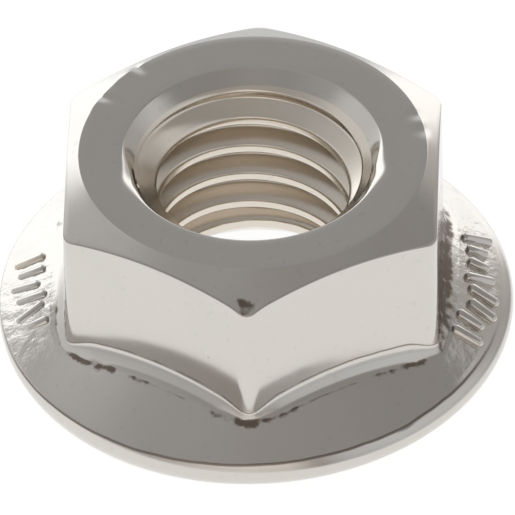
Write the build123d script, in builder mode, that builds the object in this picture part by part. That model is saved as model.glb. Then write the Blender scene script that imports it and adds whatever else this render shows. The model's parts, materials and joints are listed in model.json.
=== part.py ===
from build123d import *
import math
import os

# Serrated hexagon flange nut, M6 coarse thread, one cold-formed solid.
# Origin: centre of the bearing side, on the plane of the tooth tips.
# +Z runs up the thread axis and one hexagon corner points along -Y.
# The bore is plain, at the minor diameter of the thread.

# Driving dimensions, millimetres and degrees
across_flats = 10.0
nut_height = 5.95
minor_diameter = 5.15
corner_radius = 0.2

top_face_diameter = 9.36
top_chamfer_angle = 27.0

countersink_diameter = 6.8
countersink_angle = 90.0
lip_radius = 0.2

flange_diameter = 13.9
rim_crease_diameter = 13.6
rim_crease_height = 0.96
rim_widest_height = 0.59
rim_foot_diameter = 13.56
flange_slope = 30.0
foot_radius = 0.5

tooth_count = 24
tooth_ring_inner = 7.5
tooth_ring_outer = 13.0
tooth_ring_height = 0.2
tooth_depth = 0.18
tooth_land_share = 0.2
tooth_steep_share = 0.13

# Sizes that follow from them
flat_radius = across_flats / 2
corner_reach = flat_radius / math.cos(math.radians(30))
top_face_radius = top_face_diameter / 2
bore_radius = minor_diameter / 2
countersink_radius = countersink_diameter / 2
countersink_depth = (countersink_radius - bore_radius) / math.tan(math.radians(countersink_angle / 2))
crease_radius = rim_crease_diameter / 2
ring_inner = tooth_ring_inner / 2
ring_outer = tooth_ring_outer / 2
tooth_pitch_angle = 2 * math.pi / tooth_count
clearance = 1.0
selection_margin = 0.1


def flange_top(radius):
    """Height of the flange's sloping top at a radius."""
    return rim_crease_height + (crease_radius - radius) * math.tan(math.radians(flange_slope))


def chamfer_height(radius):
    """Height of the top chamfer's cone at a radius."""
    return nut_height - (radius - top_face_radius) * math.tan(math.radians(top_chamfer_angle))


def groove_points(radius):
    """Section of a groove between two teeth at a radius: a steep flank, then a long ramp."""
    pitch = tooth_pitch_angle * radius
    depth = tooth_depth * radius / ring_outer
    steep = tooth_steep_share * pitch
    width = (1 - tooth_land_share) * pitch
    return [(0, -clearance), (0, 0), (steep, depth), (width, 0), (width, -clearance)]


# The groove shrinks towards the axis in all its sizes, so its faces are flat
with BuildPart() as groove:
    for end_radius in (ring_inner - clearance, ring_outer + clearance):
        with BuildSketch(Plane(origin=(end_radius, 0, 0), x_dir=(0, 1, 0), z_dir=(1, 0, 0))):
            with BuildLine():
                Polyline(*groove_points(end_radius), close=True)
            make_face()
    loft(ruled=True)

with BuildPart() as flange_nut:
    # Hexagon with slightly rounded corners, standing in the flange
    with BuildSketch(Plane.XY.offset(rim_crease_height)):
        RegularPolygon(flat_radius, 6, major_radius=False, rotation=30)
    extrude(amount=nut_height - rim_crease_height)
    fillet(flange_nut.edges().filter_by(Axis.Z), corner_radius)

    # Conical chamfer that leaves a round top face
    outside = corner_reach + clearance
    with BuildSketch(Plane.XZ):
        with BuildLine():
            Polyline(
                (top_face_radius, nut_height),
                (outside, chamfer_height(outside)),
                (outside, nut_height),
                close=True,
            )
        make_face()
    revolve(axis=Axis.Z, mode=Mode.SUBTRACT)

    # Flange: a sloping top, a rounded rim, and the raised ring below that carries the teeth
    inside = flat_radius - clearance
    with BuildSketch(Plane.XZ):
        with BuildLine():
            Polyline(
                (0, flange_top(inside)),
                (inside, flange_top(inside)),
                (crease_radius, rim_crease_height),
            )
            ThreePointArc(
                (crease_radius, rim_crease_height),
                (flange_diameter / 2, rim_widest_height),
                (rim_foot_diameter / 2, tooth_ring_height),
            )
            Polyline(
                (rim_foot_diameter / 2, tooth_ring_height),
                (ring_outer + tooth_ring_height, tooth_ring_height),
                (ring_outer, 0),
                (ring_inner, 0),
                (ring_inner - tooth_ring_height, tooth_ring_height),
                (0, tooth_ring_height),
                (0, flange_top(inside)),
            )
        make_face()
    revolve(axis=Axis.Z)

    # Rounded foot where the flats and corners run into the flange
    lowest_foot = flange_top(corner_reach) - selection_margin
    highest_foot = flange_top(flat_radius) + selection_margin
    innermost_foot = flat_radius - selection_margin
    foot_edges = (
        flange_nut.edges()
        .filter_by(GeomType.LINE, reverse=True)
        .filter_by_position(Axis.Z, lowest_foot, highest_foot)
        .filter_by(lambda edge: math.hypot(edge.center().X, edge.center().Y) > innermost_foot)
    )
    fillet(foot_edges, foot_radius)

    # Bore with a countersink at each end
    with BuildSketch(Plane.XZ):
        with BuildLine():
            Polyline(
                (0, tooth_ring_height - clearance),
                (countersink_radius, tooth_ring_height - clearance),
                (countersink_radius, tooth_ring_height),
                (bore_radius, tooth_ring_height + countersink_depth),
                (bore_radius, nut_height - countersink_depth),
                (countersink_radius, nut_height),
                (countersink_radius, nut_height + clearance),
                (0, nut_height + clearance),
                close=True,
            )
        make_face()
    revolve(axis=Axis.Z, mode=Mode.SUBTRACT)
    lip = flange_nut.edges().filter_by(GeomType.CIRCLE).group_by(Axis.Z)[-1].sort_by(SortBy.RADIUS)[0]
    fillet(lip, lip_radius)

    # Teeth: radial grooves all round the ring
    with PolarLocations(0, tooth_count):
        add(groove.part, mode=Mode.SUBTRACT)

    flange_nut.part.label = "flange_nut"

os.makedirs("parts", exist_ok=True)
export_step(flange_nut.part, "parts/flange_nut.step")
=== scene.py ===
import json
import logging
import math
from dataclasses import dataclass, field
from enum import Enum

import bmesh
import bpy
import numpy as np
from mathutils import Matrix, Vector


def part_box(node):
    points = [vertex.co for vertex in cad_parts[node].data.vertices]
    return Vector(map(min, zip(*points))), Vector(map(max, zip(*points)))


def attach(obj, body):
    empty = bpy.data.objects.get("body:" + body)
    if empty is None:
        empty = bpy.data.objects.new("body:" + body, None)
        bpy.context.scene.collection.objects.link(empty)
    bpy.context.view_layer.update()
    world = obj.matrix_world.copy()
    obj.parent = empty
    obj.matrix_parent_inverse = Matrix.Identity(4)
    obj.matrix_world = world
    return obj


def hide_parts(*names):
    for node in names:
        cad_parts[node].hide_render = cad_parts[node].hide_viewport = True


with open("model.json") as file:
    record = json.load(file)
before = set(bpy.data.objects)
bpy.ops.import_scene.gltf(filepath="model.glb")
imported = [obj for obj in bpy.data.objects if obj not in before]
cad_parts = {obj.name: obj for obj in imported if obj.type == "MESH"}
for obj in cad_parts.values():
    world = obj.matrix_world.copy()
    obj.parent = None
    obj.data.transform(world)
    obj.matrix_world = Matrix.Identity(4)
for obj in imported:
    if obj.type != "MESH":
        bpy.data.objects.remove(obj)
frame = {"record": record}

# Sizes inside the classes are in millimetres; meshes and the stage are in metres.
MM = 0.001
BODY = "root"
NODE = "flange_nut"
# Points of neighbouring parts closer than this, in metres, are one point
SAME_POINT = 1e-6
SAME_POINT_IN_PART = 1e-7

logging.basicConfig(level=logging.INFO, format="%(name)s: %(message)s")
log = logging.getLogger("flange_nut")


class Zone(Enum):
    """The differently finished zones of the nut's surface, by material slot number."""

    SKIN = 0
    THREAD = 1
    TEETH = 2


# ---------------------------------------------------------------------------
# Sizes
# ---------------------------------------------------------------------------


def turn_between(start: float, end: float) -> float:
    """The shorter turn from one direction to another, in degrees."""
    return (end - start + 180) % 360 - 180


def record_mount(name: str) -> dict:
    """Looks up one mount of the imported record.

    Args:
        name: the mount's name.

    Returns:
        The mount as the record states it.
    """
    return next(mount for mount in frame["record"]["mounts"] if mount["name"] == name)


@dataclass(frozen=True)
class NutSizes:
    """Sizes of the nut in millimetres and degrees: the first three come from the frame."""

    height: float
    flange_radius: float
    crest_radius: float
    flat_radius: float = 5.0
    corner_rounding: float = 0.45
    top_face_radius: float = 4.68
    top_face_shift: float = 0.13
    top_edge_rounding: float = 0.06
    chamfer_angle: float = 27.0
    chamfer_edge_rounding: float = 0.08
    upper_mouth: float = 3.53
    mouth_shift: float = 0.08
    lower_mouth: float = 3.4
    lip_edge: float = 0.08
    worn_lip_edge: float = 0.5
    worn_lip_angles: tuple = (196.0, -8.0)
    worn_lip_width: float = 13.0
    crease_radius: float = 6.8
    crease_height: float = 0.96
    crease_shift: float = 0.12
    crease_back_share: float = 0.3
    rim_oval: float = 0.06
    crease_rounding: float = 0.08
    rim_widest_height: float = 0.59
    rim_foot_radius: float = 6.78
    flange_slope: float = 30.0
    corner_foot_rounding: float = 0.3
    flat_foot_rounding: float = 0.6
    corner_foot_width: float = 9.0
    ring_height: float = 0.2
    ring_inner: float = 3.75
    ring_outer: float = 6.5
    columns: int = 360

    @classmethod
    def from_frame(cls) -> "NutSizes":
        """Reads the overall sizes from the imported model.

        Returns:
            The sizes, a hair inside the solid, so that nothing stands out of its box.
        """
        _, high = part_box(NODE)
        bore = record_mount("thread")["dims"]["r_mm"]
        return cls(height=high.z / MM - 0.001, flange_radius=high.x / MM - 0.012, crest_radius=bore)

    def cone_height(self, radius: float) -> float:
        """Height of the flange's sloping top at a radius."""
        return self.crease_height + (self.crease_radius - radius) * math.tan(math.radians(self.flange_slope))

    def foot_rounding(self, angle: float) -> float:
        """Rounding where the hexagon meets the flange: even along the flats, small at the corners.

        Args:
            angle: direction from the axis in radians.

        Returns:
            The rounding's radius.
        """
        share = min(abs(self.from_corner(angle)) / math.radians(self.corner_foot_width), 1.0)
        eased = share * share * (3 - 2 * share)
        return self.corner_foot_rounding + (self.flat_foot_rounding - self.corner_foot_rounding) * eased

    def lip_rounding(self, angle: float) -> float:
        """Rounding of the upper mouth's lip: worn at the left and at the right, sharp elsewhere.

        Args:
            angle: direction from the axis in radians.

        Returns:
            The rounding's radius.
        """
        turns = [turn_between(worn, math.degrees(angle)) for worn in self.worn_lip_angles]
        share = max(math.exp(-((turn / self.worn_lip_width) ** 2)) for turn in turns)
        return self.lip_edge + (self.worn_lip_edge - self.lip_edge) * share

    @staticmethod
    def from_corner(angle: float) -> float:
        """Turn from the nearest corner of the hexagon, one of which points along +Y, in radians."""
        return (angle - math.pi / 2 + math.pi / 6) % (math.pi / 3) - math.pi / 6

    def hexagon_radius(self, angle: float) -> float:
        """Distance from the axis to the rounded hexagon.

        Args:
            angle: direction from the axis in radians.

        Returns:
            The radius in that direction.
        """
        from_corner = self.from_corner(angle)
        centre = (self.flat_radius - self.corner_rounding) / math.cos(math.pi / 6)
        reach = centre + self.corner_rounding * math.cos(math.pi / 6)
        tangent = math.atan2(self.corner_rounding * math.sin(math.pi / 6), reach)
        if abs(from_corner) < tangent:
            across = centre * math.sin(from_corner)
            return centre * math.cos(from_corner) + math.sqrt(self.corner_rounding**2 - across**2)
        return self.flat_radius / math.cos(math.pi / 6 - abs(from_corner))


# ---------------------------------------------------------------------------
# Mesh helpers
# ---------------------------------------------------------------------------


def rounded_path(points: list, rounding: dict, steps: dict) -> tuple:
    """Rounds chosen corners of an open path in the radius-height plane.

    Args:
        points: the path's corners as (radius, height).
        rounding: corner number to rounding radius.
        steps: leg number, or corner number plus a half, to how many parts it is cut into.

    Returns:
        The points of the finer path, and for each corner the number of the point that marks it:
        the middle of its rounding, or the far end of it at the last three corners.
    """
    corners = [Vector(point) for point in points]
    ends = []
    for number, corner in enumerate(corners):
        radius = rounding.get(number, 0.0)
        if not radius:
            ends.append((corner, corner, None))
            continue
        back = (corners[number - 1] - corner).normalized()
        ahead = (corners[number + 1] - corner).normalized()
        half = back.angle(ahead) / 2
        reach = radius / math.tan(half)
        centre = corner + (back + ahead).normalized() * radius / math.sin(half)
        ends.append((corner + back * reach, corner + ahead * reach, centre))
    path = [ends[0][0]]
    marks = []
    for number, (entry, leave, centre) in enumerate(ends):
        if number:
            count = steps.get(number - 1, 1)
            start = path[-1]
            path += [start.lerp(entry, k / count) for k in range(1, count + 1)]
        marks.append(len(path) - 1)
        if centre is not None:
            count = steps.get(number - 0.5, 4)
            marks[-1] += count // 2 if number < len(corners) - 3 else count
            first, last = entry - centre, leave - centre
            turn = first.angle_signed(last)
            for k in range(1, count + 1):
                spun = first.copy()
                spun.rotate(Matrix.Rotation(-turn * k / count, 2))
                path.append(centre + spun)
    return path, marks


def arc_through(first: tuple, middle: tuple, last: tuple, count: int) -> list:
    """Points of the circular arc through three points, without the first.

    Args:
        first: where the arc starts, as (radius, height).
        middle: a point on it.
        last: where it ends.
        count: how many points to give.

    Returns:
        The points, the last of them being `last`.
    """
    a, b, c = (complex(*point) for point in (first, middle, last))
    w = (c - a) / (b - a)
    centre = (b - a) * (w - abs(w) ** 2) / (2j * w.imag) + a
    start = a - centre
    turn = np.angle((c - centre) / start)
    spun = [centre + start * np.exp(1j * turn * k / count) for k in range(1, count + 1)]
    return [Vector((point.real, point.imag)) for point in spun]


def lathe_mesh(name: str, rings: np.ndarray) -> bpy.types.Mesh:
    """Joins rows of points, one row for each column round the axis, into a tube of quads.

    Args:
        name: the mesh's name.
        rings: array of columns by rows by (x, y, z) in metres.

    Returns:
        The open tube as a mesh.
    """
    columns, rows = rings.shape[:2]
    number = np.arange(columns * rows).reshape(columns, rows)
    ahead = np.roll(number, -1, axis=0)
    faces = np.stack([number[:, :-1], ahead[:, :-1], ahead[:, 1:], number[:, 1:]], axis=-1)
    mesh = bpy.data.meshes.new(name)
    mesh.from_pydata(rings.reshape(-1, 3).tolist(), [], faces.reshape(-1, 4).tolist())
    return mesh


# ---------------------------------------------------------------------------
# Node trees
# ---------------------------------------------------------------------------


class NodeBuilder:
    """Adds nodes to a node tree and links them as they are made."""

    def __init__(self, tree: bpy.types.NodeTree) -> None:
        """Takes the tree to build in.

        Args:
            tree: a node tree of any kind.
        """
        self.tree = tree

    def node(self, kind: str, inputs: dict | None = None, **settings: object) -> bpy.types.Node:
        """Adds a node.

        Args:
            kind: the node's type.
            inputs: input name or number to a value or to another node's socket.
            settings: the node's own properties.

        Returns:
            The node.
        """
        made = self.tree.nodes.new(kind)
        for name, value in settings.items():
            setattr(made, name, value)
        for key, value in (inputs or {}).items():
            self.feed(made.inputs[key], value)
        return made

    def feed(self, socket: bpy.types.NodeSocket, value: object) -> None:
        """Sets an input to a value, or links another node's socket to it.

        Args:
            socket: the input.
            value: the value or the socket.
        """
        if isinstance(value, bpy.types.NodeSocket):
            self.tree.links.new(value, socket)
        else:
            socket.default_value = value

    def math(self, operation: str, *terms: object) -> bpy.types.NodeSocket:
        """Adds a Math node.

        Args:
            operation: the node's operation.
            terms: its inputs, as numbers or sockets.

        Returns:
            Its result.
        """
        return self.node("ShaderNodeMath", dict(enumerate(terms)), operation=operation).outputs[0]


class GeometryTree(NodeBuilder):
    """A Geometry Nodes tree in the making, with named inputs and a mesh output."""

    def __init__(self, name: str) -> None:
        """Starts an empty tree.

        Args:
            name: the tree's name.
        """
        super().__init__(bpy.data.node_groups.new(name, "GeometryNodeTree"))
        self.tree.interface.new_socket("Geometry", in_out="OUTPUT", socket_type="NodeSocketGeometry")
        self.entry = self.tree.nodes.new("NodeGroupInput")
        self.exit = self.tree.nodes.new("NodeGroupOutput")
        self.values = {}

    def input(self, name: str, value: object) -> bpy.types.NodeSocket:
        """Adds a named input.

        Args:
            name: the input's name.
            value: the value it is given on the modifier; its type sets the socket's.

        Returns:
            The input's socket inside the tree.
        """
        kinds = {int: "NodeSocketInt", float: "NodeSocketFloat", bpy.types.Material: "NodeSocketMaterial"}
        socket = self.tree.interface.new_socket(name, in_out="INPUT", socket_type=kinds[type(value)])
        self.values[socket.identifier] = value
        return self.entry.outputs[name]

    def grid(self, columns: object, rows: object) -> tuple:
        """Adds a flat grid that the tree will bend into shape.

        Args:
            columns: number of faces along the first direction.
            rows: number of faces along the second.

        Returns:
            The grid's geometry socket, and its two directions as fields from 0 to 1.
        """
        made = self.node(
            "GeometryNodeMeshGrid",
            {
                "Size X": 1.0,
                "Size Y": 1.0,
                "Vertices X": self.math("ADD", columns, 1),
                "Vertices Y": self.math("ADD", rows, 1),
            },
        )
        place = self.node("ShaderNodeSeparateXYZ", {0: self.node("GeometryNodeInputPosition").outputs[0]})
        across, along = (self.math("ADD", place.outputs[axis], 0.5) for axis in ("X", "Y"))
        return made.outputs["Mesh"], across, along

    def bend(
        self, shape: bpy.types.NodeSocket, angle: object, radius: object, height: object
    ) -> bpy.types.NodeSocket:
        """Moves every point to cylinder coordinates.

        Args:
            shape: the geometry to move.
            angle: field of angles in radians.
            radius: field of radii in millimetres.
            height: field of heights in millimetres.

        Returns:
            The moved geometry, in metres.
        """
        flat = self.math("MULTIPLY", radius, MM)
        place = self.node(
            "ShaderNodeCombineXYZ",
            {
                "X": self.math("MULTIPLY", flat, self.math("COSINE", angle)),
                "Y": self.math("MULTIPLY", flat, self.math("SINE", angle)),
                "Z": self.math("MULTIPLY", height, MM),
            },
        )
        moved = self.node("GeometryNodeSetPosition", {"Geometry": shape, "Position": place.outputs[0]})
        return moved.outputs[0]

    def scattered(self, low: float, high: float, seed: object) -> bpy.types.NodeSocket:
        """Adds a random number for each point.

        Args:
            low: the least it can be.
            high: the most it can be.
            seed: the seed, as a number or a socket.

        Returns:
            The numbers as a field.
        """
        made = self.node(
            "FunctionNodeRandomValue", {"Min": low, "Max": high, "Seed": seed}, data_type="FLOAT"
        )
        return made.outputs["Value"]

    def finish(self, shape: bpy.types.NodeSocket, smooth: bool, material: bpy.types.NodeSocket) -> None:
        """Ends the tree: instances made real, doubles merged, shading and material set.

        Args:
            shape: the geometry to put out.
            smooth: whether its faces shade smoothly.
            material: the material's input socket.
        """
        merged = self.node(
            "GeometryNodeMergeByDistance", {"Geometry": shape, "Distance": SAME_POINT_IN_PART}
        )
        shaded = self.node(
            "GeometryNodeSetShadeSmooth", {"Geometry": merged.outputs[0], "Shade Smooth": smooth}
        )
        real = self.node("GeometryNodeRealizeInstances", {"Geometry": shaded.outputs[0]})
        done = self.node("GeometryNodeSetMaterial", {"Geometry": real.outputs[0], "Material": material})
        self.feed(self.exit.inputs[0], done.outputs[0])

    def make_mesh(self, name: str) -> bpy.types.Mesh:
        """Runs the tree on an empty object and keeps the result as a plain mesh.

        Args:
            name: the mesh's name.

        Returns:
            The mesh.
        """
        holder = bpy.data.objects.new(name, bpy.data.meshes.new(name))
        bpy.context.scene.collection.objects.link(holder)
        modifier = holder.modifiers.new(self.tree.name, "NODES")
        modifier.node_group = self.tree
        for identifier, value in self.values.items():
            modifier[identifier] = value
        bpy.context.view_layer.update()
        grown = holder.evaluated_get(bpy.context.evaluated_depsgraph_get())
        mesh = bpy.data.meshes.new_from_object(grown)
        holder.modifiers.remove(modifier)
        bpy.data.objects.remove(holder)
        return mesh


@dataclass
class ThreadedBore:
    """The right-hand thread and the narrow ends of both countersinks, in millimetres."""

    sizes: NutSizes
    pitch: float = 1.0
    rows_per_pitch: int = 24
    crest_share: float = 1 / 4
    flank_share: float = 7 / 24
    flank_angle: float = 30.0
    edge_softness: float = 0.12
    crest_height: float = 4.617
    run_out: float = 1.3
    run_out_slope: float = 1.8
    start_softness: float = 0.10
    end_radius: float = 3.19

    @property
    def ends(self) -> tuple:
        """Heights of the lowest and highest point of this surface."""
        sizes = self.sizes
        low = sizes.ring_height + sizes.lower_mouth - self.end_radius
        return low, sizes.height - sizes.upper_mouth + self.end_radius

    def mesh(self, finish: bpy.types.Material) -> bpy.types.Mesh:
        """Grows the thread from a grid whose rows follow the helix.

        Args:
            finish: the thread's material.

        Returns:
            The open tube, from the lower to the upper countersink.
        """
        sizes = self.sizes
        low, high = self.ends
        # One turn more at each end, so that every column reaches both
        turns = math.ceil((high - low) / self.pitch) + 2
        full_depth = self.flank_share * self.pitch / math.tan(math.radians(self.flank_angle))
        tree = GeometryTree("helical_thread")
        columns = tree.input("Columns", sizes.columns)
        rows = tree.input("Rows", turns * self.rows_per_pitch)
        pitch = tree.input("Pitch", self.pitch)
        crest_radius = tree.input("Crest Radius", sizes.crest_radius)
        depth = tree.input("Thread Depth", full_depth)
        crest_half = tree.input("Half Crest", self.crest_share * self.pitch / 2)
        flank = tree.input("Flank Width", self.flank_share * self.pitch)
        crest_height = tree.input("Crest Height", self.crest_height)
        bottom = tree.input("Bottom", low)
        top = tree.input("Top", high)
        end_radius = tree.input("End Radius", self.end_radius)
        softness = tree.input("Edge Softness", self.edge_softness)
        run_out = tree.input("Run Out Height", self.run_out)
        run_out_slope = tree.input("Run Out Slope", self.run_out_slope)
        start_softness = tree.input("Start Softness", self.start_softness)
        material = tree.input("Material", finish)

        shape, turn, along = tree.grid(columns, rows)
        before_start = tree.math("SUBTRACT", turn, 1.0)
        climbed = tree.math("ADD", tree.math("MULTIPLY", along, float(turns)), before_start)
        # The rows start on a crest, so that every edge of the thread falls on a row
        offset = tree.math("FLOORED_MODULO", tree.math("SUBTRACT", crest_height, bottom), pitch)
        start = tree.math("SUBTRACT", tree.math("ADD", bottom, offset), pitch)
        free = tree.math("ADD", start, tree.math("MULTIPLY", climbed, pitch))
        height = tree.math("MAXIMUM", tree.math("MINIMUM", free, top), bottom)
        crest = tree.math("ADD", crest_height, tree.math("MULTIPLY", turn, pitch))
        from_crest = tree.math("SUBTRACT", height, crest)
        aside = tree.math("PINGPONG", from_crest, tree.math("MULTIPLY", pitch, 0.5))
        sunk = tree.math("DIVIDE", tree.math("SUBTRACT", aside, crest_half), flank)
        rounded = tree.math("SMOOTH_MIN", tree.math("SMOOTH_MAX", sunk, 0.0, softness), 1.0, softness)
        # The thread runs out a little above the lower countersink
        above = tree.math("MULTIPLY", tree.math("SUBTRACT", height, run_out), run_out_slope)
        deepest = tree.math("MAXIMUM", above, 0.0)
        groove = tree.math("MINIMUM", tree.math("MULTIPLY", rounded, depth), deepest)
        thread = tree.math("ADD", crest_radius, groove)
        upper = tree.math("SUBTRACT", end_radius, tree.math("SUBTRACT", top, height))
        lower = tree.math("SUBTRACT", end_radius, tree.math("SUBTRACT", height, bottom))
        radius = tree.math("MAXIMUM", tree.math("SMOOTH_MAX", thread, upper, start_softness), lower)
        angle = tree.math("MULTIPLY", turn, 2 * math.pi)
        tree.finish(tree.bend(shape, angle, radius, height), True, material)
        return tree.make_mesh("threaded_bore")


@dataclass
class ToothRing:
    """The ring of ratchet teeth under the flange, in millimetres."""

    sizes: NutSizes
    count: int = 24
    steps: int = 15
    rows: int = 28
    inner_rows: int = 7
    outer_rows: int = 14
    depth: float = 0.18
    steep_share: float = 2 / 15
    land_share: float = 3 / 15

    def mesh(self, finish: bpy.types.Material) -> bpy.types.Mesh:
        """Shapes one tooth and its groove, and repeats it round the axis.

        Args:
            finish: the teeth's material.

        Returns:
            The open ring between its two level edges.
        """
        sizes = self.sizes
        tree = GeometryTree("ratchet_teeth")
        count = tree.input("Teeth", self.count)
        steps = tree.input("Steps", self.steps)
        rows = tree.input("Rows", self.rows)
        inner = tree.input("Inner Radius", sizes.ring_inner)
        outer = tree.input("Outer Radius", sizes.ring_outer)
        rise = tree.input("Ring Height", sizes.ring_height)
        depth = tree.input("Depth", self.depth)
        steep = tree.input("Steep Share", self.steep_share)
        ramp_end = tree.input("Ramp End", 1 - self.land_share)
        material = tree.input("Material", finish)

        shape, across, along = tree.grid(steps, rows)
        # Close rows on the ring's two sloping sides, wide ones on the teeth between them
        ends = (0.0, self.inner_rows / self.rows, 1 - self.outer_rows / self.rows, 1.0)
        radius = tree.math("SUBTRACT", inner, rise)
        widths = (rise, tree.math("SUBTRACT", outer, inner), rise)
        for low, high, width in zip(ends, ends[1:], widths):
            spread = {"Value": along, "From Min": low, "From Max": high, "To Max": width}
            part = tree.node("ShaderNodeMapRange", spread)
            radius = tree.math("ADD", radius, part.outputs["Result"])
        climb = tree.math("DIVIDE", across, steep)
        ramp_left = tree.math("SUBTRACT", ramp_end, across)
        fall = tree.math("DIVIDE", ramp_left, tree.math("SUBTRACT", ramp_end, steep))
        share = tree.math("MAXIMUM", tree.math("MINIMUM", climb, fall), 0.0)
        deepest = tree.math("MULTIPLY", depth, tree.math("DIVIDE", radius, outer))
        outside = tree.math("SUBTRACT", radius, outer)
        edge = tree.math("MAXIMUM", outside, tree.math("SUBTRACT", inner, radius))
        groove = tree.math("MULTIPLY", deepest, share)
        height = tree.math("MAXIMUM", groove, tree.math("MAXIMUM", edge, 0.0))
        pitch_angle = tree.math("DIVIDE", 2 * math.pi, count)
        tooth = tree.bend(shape, tree.math("MULTIPLY", across, pitch_angle), radius, height)
        spots = tree.node("GeometryNodePoints", {"Count": count}).outputs[0]
        turned = tree.math("MULTIPLY", tree.node("GeometryNodeInputIndex").outputs[0], pitch_angle)
        rotation = tree.node("ShaderNodeCombineXYZ", {"Z": turned}).outputs[0]
        placed = tree.node(
            "GeometryNodeInstanceOnPoints", {"Points": spots, "Instance": tooth, "Rotation": rotation}
        )
        ring = tree.node("GeometryNodeRealizeInstances", {"Geometry": placed.outputs[0]}).outputs[0]
        tree.finish(ring, False, material)
        return tree.make_mesh("tooth_ring")


@dataclass(frozen=True)
class RaisedMarks:
    """A row of plain raised bars on the flange's sloping top, in millimetres and degrees."""

    sizes: NutSizes
    name: str
    count: int
    first_angle: float
    last_angle: float
    radius: float
    scatter: float = 0.10
    width: float = 0.15
    length: float = 0.32
    rise: float = 0.13
    lean: float = 0.25
    shortest: float = 0.6
    longest: float = 1.1
    seed: int = 1
    lean_seed: int = 7
    length_seed: int = 3

    def mesh(self, finish: bpy.types.Material) -> bpy.types.Mesh:
        """Sets the bars in a row round the axis, each turned and moved a little.

        Args:
            finish: the bars' material.

        Returns:
            Closed bars, half sunk in the flange.
        """
        sizes = self.sizes
        tree = GeometryTree(self.name)
        count = tree.input("Count", self.count)
        first = tree.input("First Angle", math.radians(self.first_angle))
        last = tree.input("Last Angle", math.radians(self.last_angle))
        middle = tree.input("Radius", self.radius)
        scatter = tree.input("Scatter", self.scatter)
        width = tree.input("Width", self.width)
        longer = tree.input("Straight Share", self.length / self.width)
        rise = tree.input("Rise", self.rise)
        seed = tree.input("Seed", self.seed)
        slope = tree.input("Slope", math.radians(sizes.flange_slope))
        foot = tree.input("Height On Axis", sizes.cone_height(0.0))
        material = tree.input("Material", finish)

        index = tree.node("GeometryNodeInputIndex").outputs[0]
        share = tree.math("DIVIDE", index, tree.math("SUBTRACT", count, 1))
        angle = tree.math("ADD", first, tree.math("MULTIPLY", share, tree.math("SUBTRACT", last, first)))
        radius = tree.math("ADD", middle, tree.math("MULTIPLY", tree.scattered(-1.0, 1.0, seed), scatter))
        height = tree.math("SUBTRACT", foot, tree.math("MULTIPLY", radius, tree.math("TANGENT", slope)))
        spots = tree.node("GeometryNodePoints", {"Count": count}).outputs[0]
        placed = tree.bend(spots, angle, radius, height)
        ball = tree.node("GeometryNodeMeshIcoSphere", {"Radius": MM, "Subdivisions": 3}).outputs[0]
        # Parting a ball's halves makes a bar with round ends
        place = tree.node("GeometryNodeInputPosition").outputs[0]
        side = tree.node("ShaderNodeSeparateXYZ", {0: place}).outputs["X"]
        parted = tree.math("MULTIPLY", tree.math("SIGN", side), tree.math("MULTIPLY", longer, MM))
        offset = tree.node("ShaderNodeCombineXYZ", {"X": parted}).outputs[0]
        bar = tree.node("GeometryNodeSetPosition", {"Geometry": ball, "Offset": offset}).outputs[0]
        spun = tree.scattered(-self.lean, self.lean, self.lean_seed)
        grown = tree.scattered(self.shortest, self.longest, self.length_seed)
        ahead = tree.math("MULTIPLY", width, grown)
        scale = tree.node("ShaderNodeCombineXYZ", {"X": ahead, "Y": width, "Z": rise}).outputs[0]
        leaning = tree.node("ShaderNodeCombineXYZ", {"Y": slope, "Z": angle}).outputs[0]
        twist = tree.node("ShaderNodeCombineXYZ", {"Z": spun}).outputs[0]
        lying = tree.node("FunctionNodeEulerToRotation", {0: leaning}).outputs[0]
        own = tree.node("FunctionNodeEulerToRotation", {0: twist}).outputs[0]
        turned = tree.node("FunctionNodeRotateRotation", {0: lying, 1: own}, rotation_space="LOCAL")
        bars = tree.node(
            "GeometryNodeInstanceOnPoints",
            {"Points": placed, "Instance": bar, "Rotation": turned.outputs[0], "Scale": scale},
        )
        tree.finish(bars.outputs[0], True, material)
        return tree.make_mesh(self.name)


# What the skin's mesh carries for its material, with the value of a place without painted shade:
# distances from three edges in millimetres, which place the painted shade lines, painted shade patches and
# coarseness from 0 to 1.
SHADE_AND_COARSE = {"edge_gap": 9.0, "foot_gap": 9.0, "crease_gap": 9.0, "shade_patch": 0.0, "coarse": 0.0}


class Corner(Enum):
    """The corners of the skin's section, from the bore outwards and down."""

    BORE = 0
    LIP = 1
    TOP_EDGE = 2
    CHAMFER_EDGE = 3
    FOOT = 4
    CREASE = 5
    RIM = 6


@dataclass(frozen=True)
class Nick:
    """A small dent or burr on one of the skin's edges.

    Its width round the axis is in degrees; its reach along the section and its rise are in
    millimetres, and the rise is below zero for a dent.
    """

    corner: Corner
    angle: float
    width: float
    reach: float
    rise: float

    def lift(self, angle: float, gap: float) -> float:
        """How far the nick moves a point up or down.

        Args:
            angle: the point's direction in degrees.
            gap: how far from the edge it lies, along the section.

        Returns:
            The move in millimetres, or nothing further off than the nick reaches.
        """
        aside = turn_between(self.angle, angle)
        if abs(aside) > 3 * self.width:
            return 0.0
        return self.rise * math.exp(-((aside / self.width) ** 2) - (gap / self.reach) ** 2)


@dataclass(frozen=True)
class ShadePatch:
    """A patch of painted shade along one of the skin's edges; sizes in millimetres and degrees."""

    corner: Corner
    angle: float
    width: float
    start: float
    reach: float
    depth: float

    def amount(self, angle: float, gap: float) -> float:
        """How dark the patch is at a place.

        Args:
            angle: the place's direction in degrees.
            gap: how far outwards and down from the edge it lies, along the section.

        Returns:
            From 0, none, to `depth`, darkest.
        """
        aside = turn_between(self.angle, angle) / self.width
        along = (gap - self.start) / self.reach
        return self.depth * math.exp(-(aside**4) - along**4)


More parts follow.
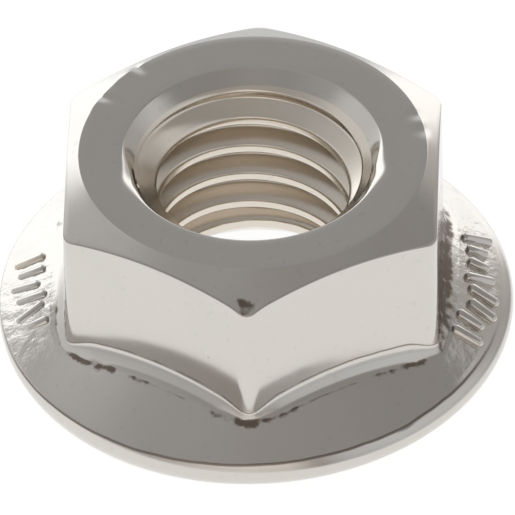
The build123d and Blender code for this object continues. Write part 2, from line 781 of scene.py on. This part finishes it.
@dataclass
class FormedSkin:
    """The cold-formed outside of the nut: mouth, top face, hexagon, flange and rim."""

    sizes: NutSizes
    end_radius: float
    # How finely the section is cut: the legs by number, the roundings between them by halves
    steps: dict = field(
        default_factory=lambda: {0: 3, 0.5: 8, 1: 5, 1.5: 3, 2: 6, 2.5: 4, 3: 7, 3.5: 10, 4: 7, 4.5: 5, 5: 1}
    )
    rim_steps: int = 12
    # Coarse ground: how far it keeps from the foot and the crease, and the share of sideways
    # direction at which it begins, and over which it grows to full
    coarse_from_foot: float = 0.1
    coarse_from_crease: float = 0.05
    coarse_start: float = 0.8
    coarse_rise: float = 0.14
    nicks: tuple = (
        Nick(Corner.TOP_EDGE, 137.0, 2.2, 0.12, 0.035),
        Nick(Corner.TOP_EDGE, 132.5, 1.6, 0.10, -0.035),
        Nick(Corner.TOP_EDGE, 141.0, 1.2, 0.08, 0.030),
        Nick(Corner.TOP_EDGE, 151.0, 1.5, 0.10, -0.030),
        Nick(Corner.TOP_EDGE, 156.0, 1.8, 0.08, 0.020),
        Nick(Corner.TOP_EDGE, 21.0, 2.5, 0.12, -0.030),
        Nick(Corner.TOP_EDGE, 13.0, 3.0, 0.12, -0.025),
        Nick(Corner.CHAMFER_EDGE, -90.0, 3.0, 0.25, -0.10),
        Nick(Corner.FOOT, -137.0, 2.0, 0.12, -0.03),
        Nick(Corner.FOOT, -143.0, 1.6, 0.12, -0.03),
        Nick(Corner.FOOT, -98.5, 1.6, 0.10, -0.03),
        Nick(Corner.FOOT, -37.0, 2.5, 0.12, -0.03),
        Nick(Corner.CREASE, -52.0, 2.5, 0.12, -0.03),
        Nick(Corner.CREASE, -63.0, 1.6, 0.10, 0.02),
        Nick(Corner.CREASE, 40.0, 2.5, 0.12, -0.03),
        Nick(Corner.FOOT, 75.0, 2.0, 0.15, -0.05),
        Nick(Corner.FOOT, 158.0, 2.0, 0.15, -0.05),
    )
    # Painted shade: dark patches in the foot between hexagon and flange, and one in the front chamfer edge's
    # dent
    shade_patches: tuple = (
        ShadePatch(Corner.CHAMFER_EDGE, -90.0, 2.6, -0.20, 0.19, 0.95),
        ShadePatch(Corner.FOOT, -90.5, 4.0, 0.0, 0.14, 1.1),
        ShadePatch(Corner.FOOT, -97.0, 4.5, 0.0, 0.08, 0.8),
        ShadePatch(Corner.FOOT, -84.0, 3.5, 0.0, 0.08, 0.8),
        ShadePatch(Corner.FOOT, -143.5, 5.0, 0.0, 0.09, 0.95),
        ShadePatch(Corner.FOOT, -135.0, 4.0, 0.0, 0.10, 1.0),
        ShadePatch(Corner.FOOT, -124.0, 5.0, 0.0, 0.05, 0.7),
        ShadePatch(Corner.FOOT, -39.0, 5.0, 0.0, 0.10, 1.0),
        ShadePatch(Corner.FOOT, -48.0, 6.0, 0.0, 0.05, 0.7),
        ShadePatch(Corner.FOOT, -78.0, 4.0, 0.0, 0.06, 0.8),
        ShadePatch(Corner.FOOT, 0.0, 31.0, -0.24, 0.32, 0.92),
        ShadePatch(Corner.FOOT, 100.0, 12.0, 0.0, 0.07, 0.8),
        ShadePatch(Corner.FOOT, 200.0, 8.0, 0.0, 0.06, 0.7),
    )

    def section(self, angle: float) -> tuple:
        """The section of the skin in one direction, from the mouth down to the tooth ring.

        Args:
            angle: the direction from the axis, in radians.

        Returns:
            Its points as (radius, height), how far along it each point lies, and how far along it
            each corner lies.
        """
        sizes = self.sizes
        wall = sizes.hexagon_radius(angle)
        top_edge = sizes.top_face_radius + sizes.top_face_shift * math.sin(angle)
        wall_top = sizes.height - (wall - top_edge) * math.tan(math.radians(sizes.chamfer_angle))
        # The rim is slightly oval, and its crease lies a little to one side
        oval = sizes.rim_oval * math.sin(2 * angle)
        shift = sizes.crease_shift * (math.cos(angle) + sizes.crease_back_share * math.sin(angle))
        crease = Vector((sizes.crease_radius - shift + oval, sizes.crease_height))
        widest = (sizes.flange_radius + oval, sizes.rim_widest_height)
        rim_foot = (sizes.rim_foot_radius + oval, sizes.ring_height)
        rim = arc_through(crease, widest, rim_foot, self.rim_steps)
        lip_rounding = sizes.lip_rounding(angle)
        lip = sizes.upper_mouth + sizes.mouth_shift * math.sin(angle) - lip_rounding * math.tan(math.pi / 8)
        points = [
            (self.end_radius, sizes.height - (sizes.upper_mouth - self.end_radius)),
            (lip, sizes.height),
            (top_edge, sizes.height),
            (wall, wall_top),
            (wall, sizes.cone_height(wall)),
            crease,
            rim[0],
        ]
        rounding = {
            Corner.LIP.value: lip_rounding,
            Corner.TOP_EDGE.value: sizes.top_edge_rounding,
            Corner.CHAMFER_EDGE.value: sizes.chamfer_edge_rounding,
            Corner.FOOT.value: sizes.foot_rounding(angle),
            Corner.CREASE.value: sizes.crease_rounding,
        }
        path, marks = rounded_path(points, rounding, self.steps)
        path += rim[1:] + [Vector((sizes.ring_outer + sizes.ring_height, sizes.ring_height))]
        lengths = np.cumsum([0.0] + [(b - a).length for a, b in zip(path, path[1:])])
        places = {corner: lengths[marks[corner.value]] for corner in Corner}
        self.dent(path, lengths, places, math.degrees(angle))
        return path, lengths, places

    def dent(self, path: list, lengths: np.ndarray, places: dict, angle: float) -> None:
        """Moves the points near each nick up or down.

        Args:
            path: the section's points, which are moved.
            lengths: how far along the section each point lies.
            places: how far along the section each corner lies.
            angle: the section's direction in degrees.
        """
        for nick in self.nicks:
            for point, length in zip(path, lengths):
                moved = point.y + nick.lift(angle, length - places[nick.corner])
                point.y = min(moved, self.sizes.height)

    def upper_mesh(self) -> bpy.types.Mesh:
        """Makes the skin from the upper mouth to the tooth ring's outer edge.

        Returns:
            The open tube, with its painted shade and coarseness as attributes.
        """
        sections = [self.section(angle) for angle in self.angles()]
        mesh = self.turned("formed_skin", [path for path, _, _ in sections])
        gaps = {"edge_gap": Corner.CHAMFER_EDGE, "foot_gap": Corner.FOOT, "crease_gap": Corner.CREASE}
        shade_and_coarse = {name: [] for name in SHADE_AND_COARSE}
        for angle, (_, lengths, places) in zip(self.angles(), sections):
            # The foot's gap is measured in the flats' rounding, so its painted shade lines close in at the
            # corners
            stretch = {"foot_gap": self.sizes.flat_foot_rounding / self.sizes.foot_rounding(angle)}
            for name, corner in gaps.items():
                shade_and_coarse[name] += [stretch.get(name, 1.0) * (length - places[corner]) for length in lengths]
            amounts = [
                [shade_patch.amount(math.degrees(angle), length - places[shade_patch.corner]) for shade_patch in self.shade_patches]
                for length in lengths
            ]
            shade_and_coarse["shade_patch"] += [max(several) for several in amounts]
            shade_and_coarse["coarse"] += [self.coarseness(angle, length, places) for length in lengths]
        for name, values in shade_and_coarse.items():
            mesh.attributes.new(name, "FLOAT", "POINT").data.foreach_set("value", values)
        return mesh

    def coarseness(self, angle: float, length: float, places: dict) -> float:
        """How coarse the skin is: roughest round the raised marks, at both sides of the flange.

        Args:
            angle: the place's direction in radians.
            length: how far along the section it lies.
            places: how far along the section each corner lies.

        Returns:
            From 0, smooth, to 1, coarse.
        """
        start = places[Corner.FOOT] + self.coarse_from_foot
        end = places[Corner.CREASE] - self.coarse_from_crease
        if not start < length < end:
            return 0.0
        return min(max((abs(math.cos(angle)) - self.coarse_start) / self.coarse_rise, 0.0), 1.0)

    def lower_mesh(self) -> bpy.types.Mesh:
        """Makes the lower mouth, from the tooth ring's inner edge to the thread.

        Returns:
            The open tube.
        """
        sizes = self.sizes
        points = [
            (sizes.ring_inner - sizes.ring_height, sizes.ring_height),
            (sizes.lower_mouth, sizes.ring_height),
            (self.end_radius, sizes.ring_height + sizes.lower_mouth - self.end_radius),
        ]
        return self.turned("lower_mouth", [[Vector(point) for point in points]] * sizes.columns)

    def angles(self) -> list:
        """Directions of the columns round the axis, in radians."""
        return [2 * math.pi * column / self.sizes.columns for column in range(self.sizes.columns)]

    def turned(self, name: str, sections: list) -> bpy.types.Mesh:
        """Sets one section in every column round the axis.

        Args:
            name: the mesh's name.
            sections: for each column its points as (radius, height).

        Returns:
            The open tube.
        """
        rings = [
            [(p.x * math.cos(angle) * MM, p.x * math.sin(angle) * MM, p.y * MM) for p in path]
            for angle, path in zip(self.angles(), sections)
        ]
        return lathe_mesh(name, np.array(rings))


# ---------------------------------------------------------------------------
# Finishes
# ---------------------------------------------------------------------------


class ShaderTree(NodeBuilder):
    """A shader node tree in the making: a material's, a group's or the world's."""

    @classmethod
    def group(cls, name: str, inputs: dict, output: str, kind: str = "NodeSocketFloat") -> "ShaderTree":
        """Starts a node group with named inputs and one named output.

        Args:
            name: the group's name.
            inputs: input name to socket type.
            output: the output's name.
            kind: the output's socket type.

        Returns:
            The group's tree, with its entry and exit nodes.
        """
        made = cls(bpy.data.node_groups.new(name, "ShaderNodeTree"))
        for label, socket_type in inputs.items():
            made.tree.interface.new_socket(label, in_out="INPUT", socket_type=socket_type)
        made.tree.interface.new_socket(output, in_out="OUTPUT", socket_type=kind)
        made.entry = made.tree.nodes.new("NodeGroupInput")
        made.exit = made.tree.nodes.new("NodeGroupOutput")
        return made

    def use(self, group: bpy.types.NodeTree, inputs: dict) -> bpy.types.NodeSocket:
        """Adds a group node.

        Args:
            group: the node group.
            inputs: input name to value or socket.

        Returns:
            Its output.
        """
        return self.node("ShaderNodeGroup", inputs, node_tree=group).outputs[0]

    def attribute(self, name: str) -> bpy.types.NodeSocket:
        """Reads a number that the mesh carries."""
        return self.node("ShaderNodeAttribute", attribute_name=name).outputs["Fac"]

    def noise(self, place: object, scale: object, detail: float = 3.0) -> bpy.types.NodeSocket:
        """Adds a noise texture.

        Args:
            place: where the noise is read.
            scale: its scale.
            detail: how many octaves it has.

        Returns:
            Its value.
        """
        made = self.node("ShaderNodeTexNoise", {"Vector": place, "Scale": scale, "Detail": detail})
        return made.outputs[0]

    def ease(self, value: object, low: object, high: object) -> bpy.types.NodeSocket:
        """Turns a value into a soft step.

        Args:
            value: the value.
            low: where the step is 0.
            high: where it is 1.

        Returns:
            The step, from 0 to 1.
        """
        spread = {"Value": value, "From Min": low, "From Max": high}
        return self.node("ShaderNodeMapRange", spread, interpolation_type="SMOOTHSTEP").outputs["Result"]

    def blend(self, share: object, first: object, second: object) -> bpy.types.NodeSocket:
        """Mixes two colours.

        Args:
            share: how much of the second is in the mix.
            first: a colour, as a socket or as (red, green, blue).
            second: the other one.

        Returns:
            The mixed colour.
        """
        made = self.node("ShaderNodeMix", {"Factor": share}, data_type="RGBA")
        for name, value in (("A", first), ("B", second)):
            socket = next(s for s in made.inputs if s.name == name and s.type == "RGBA")
            self.feed(socket, (*value, 1) if isinstance(value, tuple) else value)
        return next(s for s in made.outputs if s.type == "RGBA")


FLOAT, VECTOR = "NodeSocketFloat", "NodeSocketVector"


@dataclass
class ShadeLineAndGrainGroups:
    """The effects that the nut's finishes share, as shader node groups: a painted shade line, the grain and
    the mottling.

    The scales are those of noise textures read in metres.
    """

    wave_scale: float = 900.0
    gap_scale: float = 1400.0
    line_core: float = 0.35
    line_break: float = 0.62
    line_break_width: float = 0.2
    broad_scale: float = 350.0
    cloud_scale: float = 500.0
    speck_scale: float = 4500.0
    speck_edge: tuple = (0.66, 0.74)
    line: bpy.types.NodeTree = field(init=False)
    grain: bpy.types.NodeTree = field(init=False)
    mottle: bpy.types.NodeTree = field(init=False)

    def __post_init__(self) -> None:
        """Builds the groups."""
        self.line = self.painted_shade_line()
        self.grain = self.metal_grain()
        self.mottle = self.mottling()

    def painted_shade_line(self) -> bpy.types.NodeTree:
        """A line of painted shade along an edge, wavy and broken up: from a distance in millimetres to a
        mask.

        Returns:
            The group.
        """
        inputs = {"Place": VECTOR, "Gap": FLOAT, "Width": FLOAT, "Waver": FLOAT, "Keep": FLOAT}
        group = ShaderTree.group("painted_shade_line", inputs, "Mask")
        place, gap, width, waver, keep = (group.entry.outputs[name] for name in inputs)
        wave = group.math("SUBTRACT", group.noise(place, self.wave_scale), 0.5)
        away = group.math("ABSOLUTE", group.math("ADD", gap, group.math("MULTIPLY", wave, waver)))
        core = group.math("MULTIPLY", width, self.line_core)
        line = group.math("SUBTRACT", 1.0, group.ease(away, core, width))
        broken = group.noise(place, self.gap_scale)
        low = group.math("SUBTRACT", self.line_break, keep)
        high = group.math("ADD", low, self.line_break_width)
        mask = group.math("MULTIPLY", line, group.ease(broken, low, high))
        group.feed(group.exit.inputs["Mask"], mask)
        return group.tree

    def metal_grain(self) -> bpy.types.NodeTree:
        """The steel's fine unevenness: a broad waver and a fine grain, as a bumped normal.

        Returns:
            The group.
        """
        inputs = {"Place": VECTOR, "Waver": FLOAT, "Grain": FLOAT, "Grain Scale": FLOAT}
        group = ShaderTree.group("metal_grain", inputs, "Normal", VECTOR)
        place, waver, grain, scale = (group.entry.outputs[name] for name in inputs)
        broad = group.math("MULTIPLY", group.noise(place, self.broad_scale, 2.0), waver)
        fine = group.math("MULTIPLY", group.noise(place, scale, 4.0), grain)
        height = group.math("MULTIPLY", group.math("ADD", broad, fine), MM)
        bump = group.node("ShaderNodeBump", {"Height": height, "Strength": 1.0, "Distance": 1.0})
        group.feed(group.exit.inputs["Normal"], bump.outputs[0])
        return group.tree

    def mottling(self) -> bpy.types.NodeTree:
        """Soft cloudy patches with a few sharper specks, as a value round one.

        Returns:
            The group.
        """
        inputs = {"Place": VECTOR, "Clouds": FLOAT, "Specks": FLOAT}
        group = ShaderTree.group("mottling", inputs, "Value")
        place, clouds, specks = (group.entry.outputs[name] for name in inputs)
        cloud = group.math("SUBTRACT", group.noise(place, self.cloud_scale), 0.5)
        cloudy = group.math("ADD", 1.0, group.math("MULTIPLY", cloud, clouds))
        speck = group.ease(group.noise(place, self.speck_scale, 1.0), *self.speck_edge)
        value = group.math("SUBTRACT", cloudy, group.math("MULTIPLY", speck, specks))
        group.feed(group.exit.inputs["Value"], value)
        return group.tree


@dataclass(frozen=True)
class SteelFinish:
    """One finish of the nut's stainless steel; heights of the unevenness are in millimetres."""

    name: str
    colour: tuple
    roughness: float
    waver: float
    grain: float
    clouds: float
    specks: float
    grain_scale: float = 2500.0
    # Turns on the coarse ground and the painted shade along the edges and in the foot
    worn: bool = False
    # Colour and roughness of the painted shade
    painted_shade_colour: tuple = (0.12, 0.082, 0.058)
    painted_shade_roughness: float = 0.42
    coarse_grain: float = 0.05
    coarse_clouds: float = 0.3
    shade_patch_strength: float = 0.85
    shade_patch_scale: float = 4200.0
    shade_patch_raggedness: float = 1.6
    shade_patch_edge: tuple = (0.35, 0.85)
    # The painted shade lines fade in over this stretch from the middle to the front, in millimetres, so the
    # back half has none
    lines_fade: tuple = (-0.5, -3.5)
    # Painted shade lines, for each: attribute, offset, width and waver in millimetres, how much of it stays,
    # strength
    lines: tuple = (
        ("crease_gap", 0.0, 0.055, 0.08, 0.75, 0.75),
        ("edge_gap", 0.0, 0.04, 0.02, 0.75, 0.4),
        ("foot_gap", 0.64, 0.04, 0.12, 0.35, 0.6),
        ("foot_gap", -0.02, 0.04, 0.10, 0.2, 0.5),
    )

    def material(self, groups: ShadeLineAndGrainGroups) -> bpy.types.Material:
        """Builds the finish as a node material.

        Args:
            groups: the shared effects.

        Returns:
            The material.
        """
        made = bpy.data.materials.new(self.name)
        made.use_nodes = True
        tree = ShaderTree(made.node_tree)
        shader = made.node_tree.nodes["Principled BSDF"]
        place = tree.node("ShaderNodeTexCoord").outputs["Object"]
        grain, clouds, dark = self.grain, self.clouds, None
        # Painted shade along the edges and in the foot, and the coarse ground
        if self.worn:
            dark = self.darkness(tree, groups, place)
            coarse = tree.attribute("coarse")
            grain = tree.math("MULTIPLY_ADD", coarse, self.coarse_grain, self.grain)
            clouds = tree.math("MULTIPLY_ADD", coarse, self.coarse_clouds, self.clouds)
        tint = tree.use(groups.mottle, {"Place": place, "Clouds": clouds, "Specks": self.specks})
        colour = tree.blend(tint, (0.0, 0.0, 0.0), self.colour)
        rough = tree.math("MULTIPLY", tint, self.roughness)
        if dark is not None:
            # Painted shade darkens the colour along the edges and in the foot
            colour = tree.blend(dark, colour, self.painted_shade_colour)
            duller = tree.math("MULTIPLY", dark, self.painted_shade_roughness - self.roughness)
            rough = tree.math("ADD", rough, duller)
        uneven = {"Place": place, "Waver": self.waver, "Grain": grain, "Grain Scale": self.grain_scale}
        tree.feed(shader.inputs["Normal"], tree.use(groups.grain, uneven))
        tree.feed(shader.inputs["Base Color"], colour)
        tree.feed(shader.inputs["Roughness"], rough)
        tree.feed(shader.inputs["Metallic"], 1.0)
        return made

    def darkness(
        self, tree: ShaderTree, groups: ShadeLineAndGrainGroups, place: bpy.types.NodeSocket
    ) -> bpy.types.NodeSocket:
        """Adds up the painted shade: dark lines along the edges, on the front half only, and dark patches.

        Args:
            tree: the material's tree.
            groups: the shared effects.
            place: where the noise is read.

        Returns:
            A mask from 0, unshaded, to 1, fully shaded.
        """
        # The painted shade lines are faded in by the Y coordinate, so they lie on the front half only
        front = tree.node("ShaderNodeSeparateXYZ", {0: place}).outputs["Y"]
        facing = tree.ease(front, *(edge * MM for edge in self.lines_fade))
        # A patch of painted shade ends where the noise is stronger than it
        noise = tree.noise(place, self.shade_patch_scale)
        ragged = tree.math("MULTIPLY_ADD", noise, self.shade_patch_raggedness, -self.shade_patch_raggedness / 2)
        shade_patch = tree.ease(tree.math("ADD", tree.attribute("shade_patch"), ragged), *self.shade_patch_edge)
        dark = tree.math("MULTIPLY", shade_patch, self.shade_patch_strength)
        for name, offset, width, waver, keep, strength in self.lines:
            gap = tree.math("ADD", tree.attribute(name), offset)
            line = {"Place": place, "Gap": gap, "Width": width, "Waver": waver, "Keep": keep}
            shown = tree.math("MULTIPLY", facing, strength)
            mask = tree.math("MULTIPLY", tree.use(groups.line, line), shown)
            dark = tree.math("MAXIMUM", dark, mask)
        return dark


# The skin's steel, with painted shade along its edges and in the foot
BRIGHT_SKIN = SteelFinish(
    name="bright_skin",
    colour=(0.645, 0.617, 0.578),
    roughness=0.12,
    waver=0.004,
    grain=0.0004,
    clouds=0.10,
    specks=0.05,
    worn=True,
)
TAPPED_LIGHTENED_THREAD = SteelFinish(
    name="tapped_lightened_thread",
    # Lighter and warmer than the skin's steel; the lift is painted light that brightens the shaded bore
    colour=(0.76, 0.70, 0.62),
    roughness=0.22,
    waver=0.003,
    grain=0.0008,
    clouds=0.20,
    specks=0.05,
)
PRESSED_TEETH = SteelFinish(
    name="pressed_teeth",
    colour=(0.60, 0.575, 0.54),
    roughness=0.25,
    waver=0.003,
    grain=0.0008,
    clouds=0.20,
    specks=0.10,
)


# ---------------------------------------------------------------------------
# The nut
# ---------------------------------------------------------------------------


@dataclass
class FlangeNut:
    """The whole nut as one closed mesh."""

    sizes: NutSizes

    @property
    def marks(self) -> tuple:
        """The rows of raised marks at both sides of the flange."""
        return (
            RaisedMarks(self.sizes, "left_marks", 6, 173.0, 197.0, 6.12, seed=4),
            RaisedMarks(self.sizes, "right_marks", 8, -20.0, 17.0, 6.12, seed=9),
        )

    def build(self) -> bpy.types.Object:
        """Makes the parts of the surface, joins them at their shared edges and closes the mesh.

        Returns:
            The nut's object, at the origin.
        """
        groups = ShadeLineAndGrainGroups()
        materials = [finish.material(groups) for finish in (BRIGHT_SKIN, TAPPED_LIGHTENED_THREAD, PRESSED_TEETH)]
        bore = ThreadedBore(self.sizes)
        skin = FormedSkin(self.sizes, bore.end_radius)
        parts = {
            Zone.SKIN: [skin.upper_mesh(), skin.lower_mesh()],
            Zone.THREAD: [bore.mesh(materials[Zone.THREAD.value])],
            Zone.TEETH: [ToothRing(self.sizes).mesh(materials[Zone.TEETH.value])],
        }
        marks = [row.mesh(materials[Zone.SKIN.value]) for row in self.marks]
        joined = bmesh.new()
        for zone, meshes in parts.items():
            for mesh in meshes:
                self.add(joined, mesh, zone)
        bmesh.ops.remove_doubles(joined, verts=joined.verts, dist=SAME_POINT)
        # The bars are closed by themselves and only sunk in the flange
        for mesh in marks:
            self.add(joined, mesh, Zone.SKIN)
        bmesh.ops.recalc_face_normals(joined, faces=joined.faces)
        open_edges = sum(1 for edge in joined.edges if not edge.is_manifold)
        mesh = bpy.data.meshes.new("nut")
        joined.to_mesh(mesh)
        joined.free()
        for material in materials:
            mesh.materials.append(material)
        triangles = sum(len(polygon.vertices) - 2 for polygon in mesh.polygons)
        log.info("nut: %d triangles, %d open edges", triangles, open_edges)
        nut = bpy.data.objects.new("nut", mesh)
        bpy.context.scene.collection.objects.link(nut)
        return nut

    @staticmethod
    def add(joined: bmesh.types.BMesh, mesh: bpy.types.Mesh, zone: Zone) -> None:
        """Adds one part of the surface to the nut.

        Args:
            joined: the nut so far.
            mesh: the part, which is used up.
            zone: its finish.
        """
        for name, clean in SHADE_AND_COARSE.items():
            if name not in mesh.attributes:
                values = mesh.attributes.new(name, "FLOAT", "POINT").data
                values.foreach_set("value", [clean] * len(mesh.vertices))
        first = len(joined.faces)
        joined.from_mesh(mesh)
        joined.faces.ensure_lookup_table()
        for face in joined.faces[first:]:
            face.material_index = zone.value
            face.smooth = zone is not Zone.TEETH
        log.info("%s: %d faces", mesh.name, len(mesh.polygons))
        bpy.data.meshes.remove(mesh)


# ---------------------------------------------------------------------------
# Studio
# ---------------------------------------------------------------------------


@dataclass(frozen=True)
class RoomBand:
    """One band of the room, by height above the horizon.

    The levels are (azimuth in degrees from +Y towards +X, brightness, warmth).
    """

    name: str
    start: float
    edge: float
    levels: tuple


WALLS = RoomBand(
    "walls",
    -90.0,
    0.0,
    (
        (-180, 0.88, 0.04),
        (-162, 0.80, 0.04),
        (-140, 0.52, 0.02),
        (-120, 0.58, 0.0),
        (-100, 0.70, 0.0),
        (-62, 0.72, 0.0),
        (-50, 0.85, -0.01),
        (-41, 1.60, -0.02),
        (-18, 1.60, -0.02),
        (-10, 0.80, -0.02),
        (8, 0.80, -0.02),
        (14, 1.55, -0.01),
        (24, 1.50, 0.0),
        (33, 0.62, 0.02),
        (45, 0.48, 0.03),
        (62, 0.50, 0.02),
        (80, 0.68, 0.0),
        (118, 0.72, -0.02),
        (140, 0.64, -0.01),
        (152, 0.42, 0.06),
        (163, 0.80, 0.05),
        (180, 0.88, 0.04),
    ),
)
SHOULDER = RoomBand(
    "shoulder",
    36.0,
    5.0,
    (
        (-180, 0.37, 0.03),
        (-142, 0.36, 0.02),
        (-90, 0.48, 0.0),
        (-58, 0.60, 0.0),
        (-30, 0.43, 0.0),
        (0, 0.385, 0.0),
        (60, 0.33, 0.03),
        (142, 0.33, 0.03),
        (180, 0.37, 0.03),
    ),
)
CEILING = RoomBand(
    "ceiling",
    62.0,
    8.0,
    ((-180, 0.38, 0.03), (-90, 0.43, 0.0), (0, 0.40, 0.0), (90, 0.35, 0.03), (180, 0.38, 0.03)),
)


@dataclass(frozen=True)
class Studio:
    """Camera, floor and surroundings."""

    azimuth: float = 2.76
    elevation: float = 42.19
    roll: float = 1.44
    distance: float = 0.45
    focal_pixels: float = 16654.0
    frame_pixels: int = 515
    aim_aside: float = 0.061
    aim_height: float = 2.238
    pivot_height: float = 0.35
    floor_radius: float = 0.6
    floor_glow: float = 0.9
    floor_paint: tuple = (0.25, 0.25, 0.25, 1)
    floor_gloss: tuple = (0.95, 0.95, 0.95, 1)
    floor_roughness: float = 0.15
    low_view: tuple = (0.56, 0.78)
    bands: tuple = (WALLS, SHOULDER, CEILING)

    def camera(self) -> None:
        """Sets the long-lens camera that looks down on the nut."""
        data = bpy.data.cameras.new("camera")
        data.sensor_width = 36.0
        data.lens = self.focal_pixels * data.sensor_width / self.frame_pixels
        data.clip_start = 0.01
        data.clip_end = 10.0
        turn, rise, roll = (math.radians(value) for value in (self.azimuth, self.elevation, self.roll))
        back = Vector((math.sin(turn) * math.cos(rise), -math.cos(turn) * math.cos(rise), math.sin(rise)))
        right = Vector((math.cos(turn), math.sin(turn), 0))
        target = right * self.aim_aside * MM + Vector((0, 0, self.aim_height * MM))
        place = back * self.distance + Vector((0, 0, self.pivot_height * MM))
        view = (place - target).normalized()
        side = Vector((0, 0, 1)).cross(view).normalized()
        above = view.cross(side)
        rolled_side = math.cos(roll) * side - math.sin(roll) * above
        rolled_above = math.sin(roll) * side + math.cos(roll) * above
        turned = Matrix((rolled_side, rolled_above, view)).transposed().to_4x4()
        camera = bpy.data.objects.new("camera", data)
        camera.matrix_world = Matrix.Translation(place) @ turned
        bpy.context.scene.collection.objects.link(camera)
        bpy.context.scene.camera = camera

    def floor(self) -> None:
        """Lays a pale round floor that is white to the camera and in the steel."""
        mesh = bpy.data.meshes.new("floor")
        disc = bmesh.new()
        bmesh.ops.create_circle(disc, cap_ends=True, segments=96, radius=self.floor_radius)
        disc.to_mesh(mesh)
        disc.free()
        floor = bpy.data.objects.new("floor", mesh)
        bpy.context.scene.collection.objects.link(floor)
        material = bpy.data.materials.new("pale_floor")
        material.use_nodes = True
        material.node_tree.nodes.clear()
        tree = ShaderTree(material.node_tree)
        light = tree.node("ShaderNodeEmission", {"Strength": self.floor_glow})
        paint = tree.node("ShaderNodeBsdfDiffuse", {"Color": self.floor_paint})
        pale = tree.node("ShaderNodeAddShader", {0: light.outputs[0], 1: paint.outputs[0]})
        gloss = tree.node(
            "ShaderNodeBsdfGlossy", {"Color": self.floor_gloss, "Roughness": self.floor_roughness}
        )
        # In the steel the floor shines where it is seen at a low angle; the camera sees it plain
        facing = tree.node("ShaderNodeLayerWeight", {"Blend": 0.5}).outputs["Facing"]
        mirrored = tree.node("ShaderNodeLightPath").outputs["Is Glossy Ray"]
        share = tree.math("MULTIPLY", tree.ease(facing, *self.low_view), mirrored)
        both = tree.node("ShaderNodeMixShader", {0: share, 1: pale.outputs[0], 2: gloss.outputs[0]})
        clear = tree.node("ShaderNodeBsdfTransparent")
        behind = tree.node("ShaderNodeNewGeometry").outputs["Backfacing"]
        pick = tree.node("ShaderNodeMixShader", {0: behind, 1: both.outputs[0], 2: clear.outputs[0]})
        tree.node("ShaderNodeOutputMaterial", {"Surface": pick.outputs[0]})
        mesh.materials.append(material)

    def surroundings(self) -> None:
        """Lights the nut from a room of pale walls under a grey ceiling, white to the camera."""
        world = bpy.data.worlds.new("room")
        world.use_nodes = True
        bpy.context.scene.world = world
        world.node_tree.nodes.clear()
        tree = ShaderTree(world.node_tree)
        view = tree.node("ShaderNodeTexCoord").outputs["Generated"]
        axes = tree.node("ShaderNodeSeparateXYZ", {0: view}).outputs
        azimuth = tree.math("ARCTAN2", axes["X"], axes["Y"])
        elevation = tree.math("ARCSINE", axes["Z"])
        turn = tree.math("MULTIPLY_ADD", azimuth, 0.5 / math.pi, 0.5)
        colour = None
        for band in self.bands:
            ramp = tree.node("ShaderNodeValToRGB", {0: turn}, name=band.name)
            stops = ramp.color_ramp.elements
            while len(stops) < len(band.levels):
                stops.new(1.0)
            for stop, (angle, level, warmth) in zip(stops, band.levels):
                stop.position = angle / 360 + 0.5
                stop.color = (level * (1 + warmth), level, level * (1 - warmth), 1)
            if colour is None:
                colour = ramp.outputs[0]
                continue
            low, high = (math.radians(band.start + side * band.edge) for side in (-1, 1))
            colour = tree.blend(tree.ease(elevation, low, high), colour, ramp.outputs[0])
        room = tree.node("ShaderNodeBackground", {"Color": colour})
        white = tree.node("ShaderNodeBackground", {"Color": (1, 1, 1, 1)})
        seen = tree.node("ShaderNodeLightPath").outputs["Is Camera Ray"]
        pick = tree.node("ShaderNodeMixShader", {0: seen, 1: room.outputs[0], 2: white.outputs[0]})
        tree.node("ShaderNodeOutputWorld", {"Surface": pick.outputs[0]})

    def build(self) -> None:
        """Sets up the whole studio."""
        self.camera()
        self.floor()
        self.surroundings()
        bpy.context.scene.view_settings.view_transform = "Standard"


def main() -> None:
    """Builds the nut, sets it on its body, hides the imported part and builds the studio."""
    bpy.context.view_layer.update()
    nut = FlangeNut(NutSizes.from_frame()).build()
    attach(nut, BODY)
    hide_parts(NODE)
    Studio().build()


if __name__ == "__main__":
    main()
